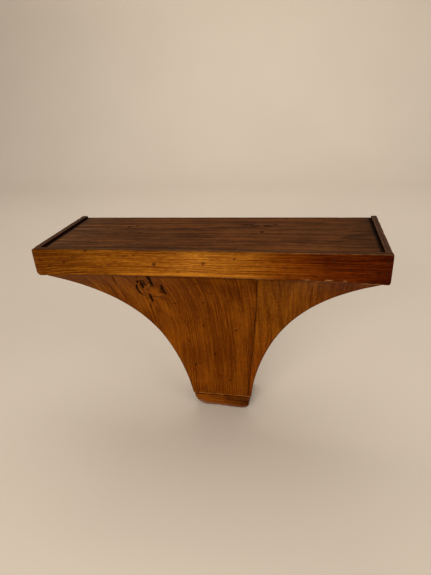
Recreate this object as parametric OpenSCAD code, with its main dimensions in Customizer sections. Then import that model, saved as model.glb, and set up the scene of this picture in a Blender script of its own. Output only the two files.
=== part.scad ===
// Wall shelf: a shallow tray on a coved front panel that narrows to a rounded foot.
// Millimetres. +X runs along the shelf, +Y into the wall, +Z up.
// The origin is on the wall plane, midway between the entry holes of the two hanger plates.
// Heights in the sections below are drops measured down from the top of the lips.

/* [Tray] */
// Width of the fascia, which is the whole width of the shelf
tray_w = 600; // [560:5:640]
// Depth from the wall to the front of the fascia
tray_d = 200; // [190:1:220]
// Height of the fascia and of the end boards
fascia_h = 51; // [49:1:60]
// Rise of the fascia's lower edge at its middle
fascia_arch = 5; // [1:0.5:6]
// Radius of the fascia's lower corners
fascia_corner_r = 6; // [2:1:10]
// Thickness of the fascia and of the end boards
board_t = 10; // [8:1:12]
// Thickness of the top board
shelf_t = 12; // [10:1:13]
// Height of the lips above the top board
lip_h = 5; // [3:1:7]
// Overhang of the fascia past each end board
fascia_over = 1; // [0.5:0.5:3]
// Radius of the end boards' upper rear corner
lip_end_r = 6; // [3:1:9]

/* [Coved panel] */
// Thickness of the panel boards
panel_t = 14; // [10:1:16]
// Drop to the lower edge of the panel
panel_drop = 382; // [360:1:400]
// Distance from the wall to the front of the panel's lower edge
panel_set = 93; // [88:1:100]
// Lean of the straight lower part, in degrees
lean = 3; // [2:0.5:4]
// Length of the straight lower part
straight_l = 135; // [120:1:150]
// Radius of the cove, measured at the front face
cove_r = 284; // [270:1:295]
// Drop to the top edge of the panel, behind the fascia
panel_top_drop = 40; // [39:1:42]
// Radius of the hollow cut on each side of the outline
outline_r = 420; // [410:1:430]
// Distance of the hollow's centre from the middle of the shelf
outline_x = 482; // [475:1:490]
// Drop to the hollow's centre
outline_drop = 430; // [425:1:440]
// Place of the joint between the two boards at the top
seam_top_x = 96; // [90:1:110]
// Place of the joint between the two boards at the bottom
seam_low_x = 58; // [52:1:59]
// Open gap of the joint
seam_gap = 0.6; // [0.2:0.1:1]

/* [Foot block] */
// Width of the foot block
foot_w = 123; // [112:1:128]
// Drop to the underside of the foot block
foot_drop = 419; // [412:1:432]
// Height of the foot block
foot_h = 47; // [43:1:54]
// How far the foot block's front is set back from the panel's face
foot_step = 4; // [2:1:10]
// How far the foot block's middle is to the right of the shelf's middle
foot_x = -2; // [-3:1:3]
// Radius of the foot block's lower left corner
foot_r = 24; // [10:1:28]
// Radius of the foot block's lower right corner
foot_right_r = 17; // [10:1:28]

/* [Hidden frame] */
// Thickness of the ribs
rib_t = 18; // [16:1:20]
// Distance from the middle of the shelf to the middle of each rib
rib_x = 41; // [38:1:44]
// Thickness of the back rail
rail_t = 18; // [16:1:22]
// Side of the square front batten
batten_s = 20; // [16:1:20]
// Width of each glue block
block_w = 22; // [16:1:26]
// Leg of the triangular glue blocks beside the ribs
block_leg = 20; // [14:1:24]

/* [Hanger plates] */
// Distance between the two hanging holes
hang_span = 400; // [300:10:460]
// Radius of the entry hole, for the head of a wall screw
key_head_r = 5; // [4.5:0.5:6]
// Half the width of the hanging slot
key_slot_r = 2.6; // [2:0.1:3]
// Distance from the entry hole up to the end of the slot
key_rise = 8; // [7:0.5:9]
// Width of a hanger plate
plate_w = 46; // [42:1:54]
// Height of a hanger plate
plate_h = 26; // [24:1:28]
// Thickness of a hanger plate
plate_t = 2; // [1.5:0.5:2]
// Depth of the pocket for the screw head behind the plate
pocket_depth = 9; // [7:1:11]

/* [Nails and screws] */
// Radius of a nail's shank
nail_r = 1.1; // [0.8:0.1:1.3]
// Radius of a nail's head
nail_head_r = 1.8; // [1.4:0.1:2.2]
// Length of a nail
nail_l = 34; // [26:1:36]
// Radius of a screw's shank
screw_r = 2; // [1.5:0.5:2]
// Radius of a countersunk screw head
screw_head_r = 3.8; // [3.2:0.2:4]

/* [Hidden] */

$fn = 96;

// Steps of the wide curves, of the fascia's shallow arch, and of the nails and screws
wide_fn = 360;
arch_fn = 2160;
small_fn = 32;

// Overshoot of a cutter past the surface that it cuts
cut = 1;

// The tray
rail_h = fascia_h - lip_h - shelf_t;
key_low = 5;
top_z = lip_h + shelf_t + rail_h / 2 + key_low;
end_out_x = tray_w / 2 - fascia_over;
end_in_x = end_out_x - board_t;
shelf_z = top_z - lip_h;
under_z = shelf_z - shelf_t;
tray_low_z = top_z - fascia_h;
fascia_back_y = board_t - tray_d;
arch_r = (pow(tray_w / 2, 2) + pow(fascia_arch, 2)) / (2 * fascia_arch);

// The cove: a straight lower part and an arc above it, which stands a hair proud of the
// tangent, so that the two meet along one clean line
cove_proud = 0.05;
panel_low_z = top_z - panel_drop;
panel_top_z = top_z - panel_top_drop;
straight_dir = [-sin(lean), cos(lean)];
front_dir = [-cos(lean), -sin(lean)];
panel_foot = [-panel_set, panel_low_z];
tangent = panel_foot + straight_l * straight_dir;
cove_centre = tangent + (cove_r - cove_proud) * front_dir;
panel_half_w = end_in_x - 1;
scribe_cuts = 24;
scribe_gap = 0.1;

// The foot and the ribs
foot_low_z = top_z - foot_drop;
foot_top_z = foot_low_z + foot_h;
foot_front_y = foot_step - panel_set;
foot_screw_y = -0.42 * panel_set;
foot_screw_bite = 28;
foot_screw_l = foot_h + foot_screw_bite;

// Screws of the hanger plates, each side of the keyhole
hanger_screw_l = 14;
hanger_screw_x = 16;

// Small details of the nails, the screws and the pockets
nail_head_t = 1;
driver_slot = 1;
pocket_gap = 1;

// Nails: [x, drop], chosen by hand
rail_nail_xs = [-230, -105, 105, 230];
rib_nail_ys = [-60, -140];
fascia_nails_in_top = [[-222, 13], [-130, 11], [60, 12], [215, 12]];
fascia_nails_in_batten = [[-160, 28], [-77, 26], [8, 22], [140, 25], [240, 27]];
fascia_nails_in_ends = [[-294, 21], [-293, 39], [293, 14], [294, 31]];
end_nail_ys = [-40, -100, -160];
panel_nail_spots = [
    [-38, 112], [-35, 177], [-46, 297], [-42, 366],
    [43, 122], [43, 204], [38, 286], [43, 366]
];

// Distance along Y from the wall to the front of the panel, at height z
function panel_front_y(z) = z < tangent[1]
    ? panel_foot[0] - (z - panel_low_z) * tan(lean)
    : cove_centre[0] + sqrt(pow(cove_r, 2) - pow(z - cove_centre[1], 2));

// Angle, above straight out from the wall, of the panel's inward normal at height z
function panel_tilt(z) = z < tangent[1] ? lean : asin((z - cove_centre[1]) / cove_r);

// Places a profile drawn in Y and Z, and runs it along X from x0 to x1
module along_x(x0, x1) {
    translate([x0, 0, 0]) rotate([90, 0, 90]) linear_extrude(x1 - x0) children();
}

// Places an outline drawn in X and Z, and runs it along Y from y0 to y1
module along_y(y0, y1) {
    translate([0, y1, 0]) rotate([90, 0, 0]) linear_extrude(y1 - y0) children();
}

// A box between two corners
module block(low, high) {
    translate(low) cube(high - low);
}

// A rectangle whose two lower corners are round, each with its own radius
module foot_outline(w, h, left_r, right_r) {
    tall_r = max(left_r, right_r);
    translate([-w / 2, tall_r]) square([w, h - tall_r]);
    translate([left_r - w / 2, 0]) square([w - left_r - right_r, tall_r + cut]);
    for (corner = [[-1, left_r], [1, right_r]]) {
        r = corner[1];
        translate([corner[0] * (w / 2 - r), r]) circle(r);
        if (r < tall_r)
            translate([corner[0] * (w - r) / 2 - r / 2, r]) square([r, tall_r - r + cut]);
    }
}

// A round nail that enters at the origin and runs along +Z, with its flat head flush
module nail() {
    cylinder(h = nail_l, r = nail_r, $fn = small_fn);
    cylinder(h = nail_head_t, r = nail_head_r, $fn = small_fn);
}

// The solid of a countersunk screw that enters at the origin and runs along +Z
module screw_solid(l) {
    rotate_extrude($fn = small_fn)
        polygon([
            [0, 0], [screw_head_r, 0], [screw_r, screw_head_r - screw_r],
            [screw_r, l - 2 * screw_r], [0, l]
        ]);
}

// A countersunk screw with its driver slot
module screw(l) {
    difference() {
        screw_solid(l);
        translate([-screw_head_r, -driver_slot / 2, -cut])
            cube([2 * screw_head_r, driver_slot, driver_slot + cut]);
    }
}

// Nails and screws, drawn once here and cut out of the boards they go through
module fascia_nail_set() {
    for (spot = concat(fascia_nails_in_top, fascia_nails_in_batten, fascia_nails_in_ends))
        translate([spot[0], -tray_d, top_z - spot[1]]) rotate([-90, 0, 0]) nail();
}

module end_nail_set() {
    for (side = [-1, 1], y = end_nail_ys)
        translate([side * end_out_x, y, shelf_z - shelf_t / 2]) rotate([0, -side * 90, 0]) nail();
    for (side = [-1, 1])
        translate([side * end_out_x, -rail_t / 2, under_z - rail_h / 2])
            rotate([0, -side * 90, 0]) nail();
}

module panel_nail_set() {
    for (spot = panel_nail_spots) {
        z = top_z - spot[1];
        translate([spot[0], panel_front_y(z), z]) rotate([panel_tilt(z) - 90, 0, 0]) nail();
    }
}

module top_nail_set() {
    for (x = rail_nail_xs) translate([x, -rail_t / 2, shelf_z]) rotate([180, 0, 0]) nail();
    for (side = [-1, 1], y = rib_nail_ys)
        translate([side * rib_x, y, shelf_z]) rotate([180, 0, 0]) nail();
}

module foot_screw_places() {
    for (side = [-1, 1]) translate([side * rib_x, foot_screw_y, foot_low_z]) children();
}

module hanger_screw_places() {
    for (side = [-1, 1], end = [-1, 1])
        translate([side * hang_span / 2 + end * hanger_screw_x, 0, key_low])
            rotate([90, 0, 0]) children();
}

// The keyhole: a round entry below and a narrow slot that rises from it
module keyhole(head_r, slot_r) {
    circle(head_r);
    translate([-slot_r, 0]) square([2 * slot_r, key_rise]);
    translate([0, key_rise]) circle(slot_r);
}

// All that lies in front of the coved surface that is depth behind the panel's face:
// a disc for the cove, and a leaning rectangle for the straight part
module ahead_of_panel(depth) {
    reach = 1.5 * cove_r;
    translate(cove_centre) circle(cove_r + depth, $fn = wide_fn);
    translate(panel_foot) rotate(lean) translate([depth - reach, -reach])
        square([reach, reach + straight_l]);
}

// The panel's section, between its face and its back
module panel_section() {
    intersection() {
        translate([-tray_d, panel_low_z]) square([tray_d, panel_top_z - panel_low_z]);
        difference() {
            ahead_of_panel(panel_t);
            ahead_of_panel(0);
        }
    }
}

// The panel's outline: a strip with a round hollow on each side
module panel_outline() {
    difference() {
        translate([-panel_half_w, panel_low_z - cut])
            square([2 * panel_half_w, panel_top_z - panel_low_z + 2 * cut]);
        for (side = [-1, 1])
            translate([side * outline_x, top_z - outline_drop]) circle(outline_r, $fn = wide_fn);
    }
}

// The room that the panel leaves for the fascia, scribed to its arch in short straight cuts
module fascia_room() {
    function arch_z(x) = tray_low_z + fascia_arch * (1 - pow(2 * x / tray_w, 2)) - scribe_gap;
    polygon(concat(
        [[tray_w / 2, top_z], [-tray_w / 2, top_z]],
        [for (i = [0 : scribe_cuts]) let (x = tray_w * (i / scribe_cuts - 0.5)) [x, arch_z(x)]]
    ));
}

// The whole panel, which runs up behind the fascia and meets its lower edge almost flush
module coved_panel() {
    difference() {
        intersection() {
            along_x(-panel_half_w, panel_half_w) panel_section();
            along_y(-tray_d - cut, cut) panel_outline();
        }
        along_y(-tray_d - cut, fascia_back_y) fascia_room();
    }
}

// The side of the joint that the main board is on, moved by shift along X
module seam_side(shift) {
    over = 20;
    slope = (seam_top_x - seam_low_x) / (panel_top_z - panel_low_z);
    along_y(-tray_d - cut, cut) polygon([
        [-tray_w, panel_low_z - over], [seam_low_x + shift - slope * over, panel_low_z - over],
        [seam_top_x + shift + slope * over, panel_top_z + over], [-tray_w, panel_top_z + over]
    ]);
}

module top_board() {
    color("#5a3a22") difference() {
        block([-end_in_x, fascia_back_y, under_z], [end_in_x, 0, shelf_z]);
        fascia_nail_set();
        end_nail_set();
        top_nail_set();
    }
}

module fascia() {
    color("#b06a1c") difference() {
        along_y(-tray_d, fascia_back_y) difference() {
            translate([0, tray_low_z]) foot_outline(tray_w, fascia_h, fascia_corner_r, fascia_corner_r);
            translate([0, tray_low_z + fascia_arch - arch_r]) circle(arch_r, $fn = arch_fn);
        }
        fascia_nail_set();
    }
}

// One end board, on the side that side says: -1 left, 1 right
module end_board(side) {
    x = side < 0 ? -end_out_x : end_in_x;
    color("#3f2515") difference() {
        along_x(x, x + board_t) {
            translate([fascia_back_y, tray_low_z]) square([-fascia_back_y, fascia_h - lip_end_r]);
            translate([fascia_back_y, top_z - lip_end_r - cut])
                square([-fascia_back_y - lip_end_r, lip_end_r + cut]);
            translate([-lip_end_r, top_z - lip_end_r]) circle(lip_end_r);
        }
        fascia_nail_set();
        end_nail_set();
    }
}

module left_end() { end_board(-1); }

module right_end() { end_board(1); }

module panel_main_board() {
    color("#9a5a1e") difference() {
        intersection() {
            coved_panel();
            seam_side(-seam_gap / 2);
        }
        panel_nail_set();
    }
}

module panel_edge_board() {
    color("#b8741f") difference() {
        coved_panel();
        seam_side(seam_gap / 2);
        panel_nail_set();
    }
}

module foot_block() {
    color("#7a4316") difference() {
        along_y(foot_front_y, 0) translate([foot_x, foot_low_z])
            foot_outline(foot_w, foot_h, foot_r, foot_right_r);
        // The rebate that the panel's lower end stands in
        along_x(-foot_w, foot_w) intersection() {
            ahead_of_panel(panel_t);
            translate([-tray_d, panel_low_z]) square([tray_d, foot_h]);
        }
        panel_nail_set();
        foot_screw_places() screw_solid(foot_screw_l);
    }
}

// One rib: a sawn bracket whose front follows the back of the coved panel
module rib(side) {
    x = side * rib_x - rib_t / 2;
    color("#a9793f") difference() {
        along_x(x, x + rib_t) difference() {
            translate([fascia_back_y, foot_top_z])
                square([-fascia_back_y, under_z - foot_top_z]);
            ahead_of_panel(panel_t);
            translate([fascia_back_y - cut, under_z - batten_s])
                square([batten_s + cut, batten_s + cut]);
            translate([-rail_t, under_z - rail_h]) square([rail_t + cut, rail_h + cut]);
        }
        panel_nail_set();
        top_nail_set();
        foot_screw_places() screw_solid(foot_screw_l);
    }
}

module left_rib() { rib(-1); }

module right_rib() { rib(1); }

module back_rail() {
    color("#a9793f") difference() {
        block([-end_in_x, -rail_t, under_z - rail_h], [end_in_x, 0, under_z]);
        for (side = [-1, 1]) translate([side * hang_span / 2, 0, 0]) {
            block([-plate_w / 2, -plate_t, key_low - plate_h / 2],
                  [plate_w / 2, cut, key_low + plate_h / 2]);
            along_y(-plate_t - pocket_depth, 0) keyhole(key_head_r + pocket_gap, key_head_r + pocket_gap);
        }
        end_nail_set();
        top_nail_set();
        hanger_screw_places() screw_solid(hanger_screw_l);
    }
}

module front_batten() {
    color("#a9793f") difference() {
        block([-end_in_x, fascia_back_y, under_z - batten_s],
              [end_in_x, fascia_back_y + batten_s, under_z]);
        fascia_nail_set();
    }
}

// Triangular blocks in the corners of the ribs and the top board
module rib_glue_blocks() {
    middle_y = (fascia_back_y + batten_s - rail_t) / 2;
    half_l = 1.5 * block_w;
    color("#b98d55")
        for (side = [-1, 1], face = [-1, 1])
            translate([side * rib_x + face * rib_t / 2, 0, under_z])
                along_y(middle_y - half_l, middle_y + half_l)
                    polygon([[0, 0], [face * block_leg, 0], [0, -block_leg]]);
}

// Short blocks behind the wide top of the panel, between it and the top board
module wing_blocks() {
    wing_h = 52;
    wing_xs = [130, 215];
    color("#b98d55")
        for (side = [-1, 1], wing_x = wing_xs)
            along_x(side * wing_x - block_w / 2, side * wing_x + block_w / 2) difference() {
                translate([fascia_back_y, under_z - wing_h])
                    square([wing_h + batten_s, wing_h]);
                ahead_of_panel(panel_t);
                translate([fascia_back_y - cut, under_z - batten_s])
                    square([batten_s + cut, batten_s + cut]);
            }
}

// One keyhole plate, let in flush with the back of the rail
module hanger_plate(side) {
    color("#8d8f92") difference() {
        translate([side * hang_span / 2, 0, 0]) along_y(-plate_t, 0) difference() {
            translate([-plate_w / 2, key_low - plate_h / 2]) square([plate_w, plate_h]);
            keyhole(key_head_r, key_slot_r);
        }
        hanger_screw_places() screw_solid(hanger_screw_l);
    }
}

module left_hanger_plate() { hanger_plate(-1); }

module right_hanger_plate() { hanger_plate(1); }

module hanger_screws() {
    color("#b9bbbd") hanger_screw_places() screw(hanger_screw_l);
}

module foot_screws() {
    color("#55504b") foot_screw_places() screw(foot_screw_l);
}

module fascia_nails() { color("#2e211a") fascia_nail_set(); }

module end_nails() { color("#2e211a") end_nail_set(); }

module panel_nails() { color("#2e211a") panel_nail_set(); }

module top_nails() { color("#2e211a") top_nail_set(); }

top_board();
fascia();
left_end();
right_end();
panel_main_board();
panel_edge_board();
foot_block();
left_rib();
right_rib();
back_rail();
front_batten();
rib_glue_blocks();
wing_blocks();
left_hanger_plate();
right_hanger_plate();
hanger_screws();
foot_screws();
fascia_nails();
end_nails();
panel_nails();
top_nails();
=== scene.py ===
"""An old wall shelf: a shallow tray on a coved front panel that narrows to a rounded foot.

Lengths are in millimetres until a mesh is made, in the frame of the CAD model: +X along the
shelf, +Y into the wall, +Z up. A drop is measured down from the top of the tray's lips.
"""

import math

import bmesh
import bpy
import numpy as np
from mathutils import Matrix, Vector


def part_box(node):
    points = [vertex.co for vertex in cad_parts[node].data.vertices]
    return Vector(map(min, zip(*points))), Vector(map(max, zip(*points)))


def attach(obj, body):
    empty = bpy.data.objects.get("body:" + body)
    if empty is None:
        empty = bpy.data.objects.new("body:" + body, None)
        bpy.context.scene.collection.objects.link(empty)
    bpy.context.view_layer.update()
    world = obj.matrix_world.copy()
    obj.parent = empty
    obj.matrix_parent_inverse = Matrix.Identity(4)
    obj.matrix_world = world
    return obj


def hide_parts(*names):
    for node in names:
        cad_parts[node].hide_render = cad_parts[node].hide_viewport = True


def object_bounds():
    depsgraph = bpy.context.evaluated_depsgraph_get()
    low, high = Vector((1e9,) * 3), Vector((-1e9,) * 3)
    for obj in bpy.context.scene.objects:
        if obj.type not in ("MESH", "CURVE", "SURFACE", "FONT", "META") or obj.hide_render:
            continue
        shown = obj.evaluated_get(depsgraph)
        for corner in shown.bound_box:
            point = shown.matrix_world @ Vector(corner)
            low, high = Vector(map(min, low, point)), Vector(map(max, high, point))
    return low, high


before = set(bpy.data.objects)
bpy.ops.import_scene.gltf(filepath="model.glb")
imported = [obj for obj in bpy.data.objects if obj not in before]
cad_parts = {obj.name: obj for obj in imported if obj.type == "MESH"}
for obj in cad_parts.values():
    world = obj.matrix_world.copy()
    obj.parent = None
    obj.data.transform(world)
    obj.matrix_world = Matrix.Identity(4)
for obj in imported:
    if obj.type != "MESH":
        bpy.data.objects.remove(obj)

CAD_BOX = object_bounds()
MM = 0.001


def box_mm(node):
    """Lowest and highest corner of a CAD node, in millimetres."""
    low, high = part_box(node)
    return np.array(low) / MM, np.array(high) / MM


# ---------------------------------------------------------------- sizes

FASCIA_LOW, FASCIA_HIGH = box_mm("fascia")
TOP_LOW, TOP_HIGH = box_mm("top_board")
PANEL_LOW, PANEL_HIGH = box_mm("panel_main_board")
FOOT_LOW, FOOT_HIGH = box_mm("foot_block")
LIP_TOP = FASCIA_HIGH[2]
FASCIA_H = FASCIA_HIGH[2] - FASCIA_LOW[2]

# The shapes that a box can't give, as the CAD model has them
ARCH_RISE = 5
PANEL_T = 14
PANEL_SET = 93
LEAN = math.radians(3)
STRAIGHT_L = 135
COVE_R = 284
OUTLINE_R, OUTLINE_X, OUTLINE_DROP = 420, 482, 430
SEAM_TOP_X, SEAM_LOW_X, SEAM_GAP = 96, 58, 0.6
# How far the joint leans sideways for each millimetre up the panel's face
SEAM_LEAN = 0.103
# Places across the panel's grain are counted from here, so that none is negative
GRAIN_LEFT = -300
FOOT_LEFT_R, FOOT_RIGHT_R = 24, 17
FOOT_STEP = 4
# The foot's front is worn rounder at the lower left, and its lower edge rises towards that end
FOOT_WORN_R, FOOT_WORN_RISE, FOOT_WORN_DEPTH = 6.0, 4.0, 12.0


# ---------------------------------------------------------------- noise

def hashed(cell, seed):
    """A repeatable number from -1 to 1 for each whole-number cell."""
    x, y, z = (cell[..., i].astype(np.int64) for i in range(3))
    h = (x * 374761393 + y * 668265263 + z * 1442695041 + seed * 974711) & 0xFFFFFFFF
    h = ((h ^ (h >> 13)) * 1274126177) & 0xFFFFFFFF
    return ((h ^ (h >> 16)) & 0xFFFF) / 32767.5 - 1


def wander(points, size, seed):
    """Smooth noise from -1 to 1, with lumps that are size wide: one number, or one per axis."""
    at = points / np.asarray(size, float)
    cell = np.floor(at)
    part = at - cell
    part = part * part * (3 - 2 * part)
    total = np.zeros(len(points))
    for corner in np.ndindex(2, 2, 2):
        share = np.prod(np.where(corner, part, 1 - part), axis=-1)
        total += share * hashed(cell + corner, seed)
    return total


def smooth(low, high, value):
    """0 below low and 1 above high, with a smooth step between."""
    part = np.clip((value - low) / (high - low), 0, 1)
    return part * part * (3 - 2 * part)


# ---------------------------------------------------------------- board meshes

ARRIS_STOPS = (0, 0.35, 0.8, 1.3, 2.0, 3.0)


def stops(length, step, fine=()):
    """Places along a side: close together at both ends and in each fine band (from, to, step)."""
    margin = ARRIS_STOPS[-1]
    count = max(2, round((length - 2 * margin) / step) + 1)
    places = [*ARRIS_STOPS, *(length - stop for stop in ARRIS_STOPS)]
    places += list(np.linspace(margin, length - margin, count))
    for start, end, fine_step in fine:
        places += list(np.arange(start, end, fine_step))
    kept = [0.0]
    for place in sorted(places):
        if place - kept[-1] >= 0.3 and length - place >= 0.3:
            kept.append(float(place))
    return np.array([*kept, float(length)])


def shell(sides):
    """The skin of a box that is cut at the stops of its three sides: points and quads."""
    counts = [len(side) for side in sides]
    cell = np.stack(np.meshgrid(*(np.arange(n) for n in counts), indexing="ij"), axis=-1)
    on_skin = np.any((cell == 0) | (cell == np.array(counts) - 1), axis=-1)
    number = np.full(counts, -1)
    number[on_skin] = np.arange(on_skin.sum())
    quads = []
    for axis in range(3):
        for end in (0, counts[axis] - 1):
            sheet = np.take(number, end, axis=axis)
            corners = (sheet[:-1, :-1], sheet[1:, :-1], sheet[1:, 1:], sheet[:-1, 1:])
            quads.append(np.stack(corners, axis=-1).reshape(-1, 4))
    on = cell[on_skin]
    points = np.stack([sides[i][on[:, i]] for i in range(3)], axis=-1)
    return points, np.concatenate(quads)


def soften(points, size, radius):
    """Rounds the arrises of a box's skin, with a radius for each point."""
    r = np.minimum(radius, np.min(size, axis=-1) / 2 - 0.01)[:, None]
    inner = np.clip(points, r, size - r)
    out = points - inner
    length = np.maximum(np.linalg.norm(out, axis=1, keepdims=True), 1e-9)
    return inner + out / length * r


def round_corner(flat, corner, radius):
    """Rounds one corner of a flat outline. corner is its place and the signs that lead inwards,
    and radius is one number or one for each point."""
    signs = np.sign(corner[1])
    away = (flat - corner[0]) * signs
    d = np.clip(radius - away, 0, None)
    longest = np.max(d, axis=1)
    length = np.maximum(np.linalg.norm(d, axis=1), 1e-9)
    inside = np.all(away < radius, axis=1)
    d = np.where(inside[:, None], d * (longest / length)[:, None], radius - away)
    return corner[0] + (radius - d) * signs


def arris_depth(points, size):
    """Distance of each skin point from the nearest arris, in millimetres."""
    gap = np.sort(np.minimum(points, size - points), axis=1)
    return gap[:, 1]


def make_piece(name, points, faces, fields, material, nodes=()):
    """A closed, smooth-shaded mesh with the fields as attributes, riding on the shelf."""
    mesh = bpy.data.meshes.new(name)
    mesh.from_pydata((points * MM).tolist(), [], faces.tolist())
    for field, values in fields.items():
        kind, key = ("FLOAT_VECTOR", "vector") if values.ndim == 2 else ("FLOAT", "value")
        attribute = mesh.attributes.new(field, kind, "POINT")
        attribute.data.foreach_set(key, values.astype(np.float32).ravel())
    shape = bmesh.new()
    shape.from_mesh(mesh)
    bmesh.ops.recalc_face_normals(shape, faces=shape.faces)
    shape.to_mesh(mesh)
    shape.free()
    mesh.polygons.foreach_set("use_smooth", [True] * len(mesh.polygons))
    mesh.materials.append(material)
    piece = bpy.data.objects.new(name, mesh)
    bpy.context.scene.collection.objects.link(piece)
    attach(piece, "root")
    if nodes:
        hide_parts(*nodes)
    return piece


def blank_fields(grain):
    """The attributes of a piece with nothing painted yet. grain is across, along and through."""
    painted = ("edge", "dust", "grime", "mark", "glow", "raw")
    return {"grain": grain * MM, **{name: np.zeros(len(grain)) for name in painted}}


def stroke(flat, path, half_width, seed=0):
    """Strength, from 0 to 1, of a mark drawn along a path: tapered, with a ragged edge."""
    strength = np.zeros(len(flat))
    lengths = [math.dist(a, b) for a, b in zip(path, path[1:])]
    whole, done = sum(lengths), 0.0
    ragged = 1 + 0.35 * wander(np.c_[flat, np.full(len(flat), seed)], (2.5, 5, 1), seed)
    for (a, b), length in zip(zip(path, path[1:]), lengths):
        a, along = np.array(a, float), np.array(b, float) - np.array(a, float)
        t = np.clip((flat - a) @ along / max(length**2, 1e-9), 0, 1)
        distance = np.linalg.norm(flat - a - t[:, None] * along, axis=1)
        place = (done + t * length) / max(whole, 1e-9)
        taper = np.sqrt(np.clip(4 * place * (1 - place), 0, 1)) if whole > 4 else 1
        reach = half_width * ragged * (0.25 + 0.75 * taper)
        strength = np.maximum(strength, 1 - smooth(0.45, 1.15, distance / reach))
        done += length
    return strength


# ---------------------------------------------------------------- materials

class Graph:
    """Short ways to build a material's nodes. Inputs are sockets, numbers or tuples."""

    def __init__(self, name):
        self.material = bpy.data.materials.new(name)
        self.material.use_nodes = True
        self.tree = self.material.node_tree
        self.shader = self.tree.nodes["Principled BSDF"]

    def put(self, socket, value):
        if isinstance(value, bpy.types.NodeSocket):
            self.tree.links.new(value, socket)
        elif value is not None:
            if socket.type == "RGBA" and len(value) == 3:
                value = (*value, 1)
            socket.default_value = value

    def surface(self, **values):
        for key, value in values.items():
            self.put(self.shader.inputs[key.replace("_", " ")], value)

    def attribute(self, name, output="Fac"):
        node = self.tree.nodes.new("ShaderNodeAttribute")
        node.attribute_name = name
        return node.outputs[output]

    def calc(self, operation, a, b=None, c=None, clamp=False):
        node = self.tree.nodes.new("ShaderNodeMath")
        node.operation, node.use_clamp = operation, clamp
        for socket, value in zip(node.inputs, (a, b, c)):
            self.put(socket, value)
        return node.outputs[0]

    def vector(self, operation, a, b=None):
        node = self.tree.nodes.new("ShaderNodeVectorMath")
        node.operation = operation
        self.put(node.inputs[0], a)
        if b is not None:
            self.put(node.inputs[1], b)
        return node.outputs["Value" if operation in ("LENGTH", "DISTANCE") else "Vector"]

    def split(self, vector):
        node = self.tree.nodes.new("ShaderNodeSeparateXYZ")
        self.put(node.inputs[0], vector)
        return node.outputs[:]

    def join(self, x, y, z):
        node = self.tree.nodes.new("ShaderNodeCombineXYZ")
        for socket, value in zip(node.inputs, (x, y, z)):
            self.put(socket, value)
        return node.outputs[0]

    def noise(self, place, size, detail=2.0, rough=0.5, shift=0.0):
        """Noise from 0 to 1 with lumps that are size wide along each axis."""
        node = self.tree.nodes.new("ShaderNodeTexNoise")
        scaled = self.vector("DIVIDE", place, size)
        self.put(node.inputs["Vector"], self.vector("ADD", scaled, (shift, shift, shift)))
        node.inputs["Scale"].default_value = 1.0
        node.inputs["Detail"].default_value = detail
        node.inputs["Roughness"].default_value = rough
        return node.outputs["Fac"]

    def step(self, value, low, high, start=0.0, end=1.0):
        """A smooth step from start, at low, to end, at high."""
        node = self.tree.nodes.new("ShaderNodeMapRange")
        node.interpolation_type = "SMOOTHSTEP"
        for key, item in zip(node.inputs[:5], (value, low, high, start, end)):
            self.put(key, item)
        return node.outputs[0]

    def mix(self, share, a, b, blend="MIX"):
        node = self.tree.nodes.new("ShaderNodeMix")
        node.data_type, node.blend_type = "RGBA", blend
        node.clamp_factor = True
        self.put(node.inputs[0], share)
        self.put(node.inputs[6], a)
        self.put(node.inputs[7], b)
        return node.outputs[2]

    def ramp(self, value, colours):
        node = self.tree.nodes.new("ShaderNodeValToRGB")
        self.put(node.inputs[0], value)
        marks = node.color_ramp.elements
        while len(marks) < len(colours):
            marks.new(0.5)
        for mark, (place, colour) in zip(marks, colours):
            mark.position = place
            mark.color = (*colour, 1)
        return node.outputs[0]

    def bump(self, height, distance, strength=1.0, normal=None):
        node = self.tree.nodes.new("ShaderNodeBump")
        self.put(node.inputs["Height"], height)
        node.inputs["Distance"].default_value = distance
        node.inputs["Strength"].default_value = strength
        self.put(node.inputs["Normal"], normal)
        return node.outputs[0]


BARE_WOOD = (0.42, 0.21, 0.07)
RAW_LIGHT, RAW_DARK = (0.3, 0.175, 0.08), (0.12, 0.06, 0.026)
DUST = (0.042, 0.02, 0.0095)
HOLE = (0.006, 0.0028, 0.0012)


def shade(colour, amount):
    """A colour made darker or lighter by a factor."""
    return tuple(part * amount for part in colour)


def grain_place(graph, axes):
    """Millimetres across, along and through the grain: from the mesh, or from CAD axes."""
    if axes is None:
        source = graph.attribute("grain", "Vector")
    else:
        coords = graph.tree.nodes.new("ShaderNodeTexCoord").outputs["Object"]
        parts = graph.split(coords)
        source = graph.join(*(parts[axis] for axis in axes))
    return graph.vector("MULTIPLY", source, (1 / MM, 1 / MM, 1 / MM))


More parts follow.
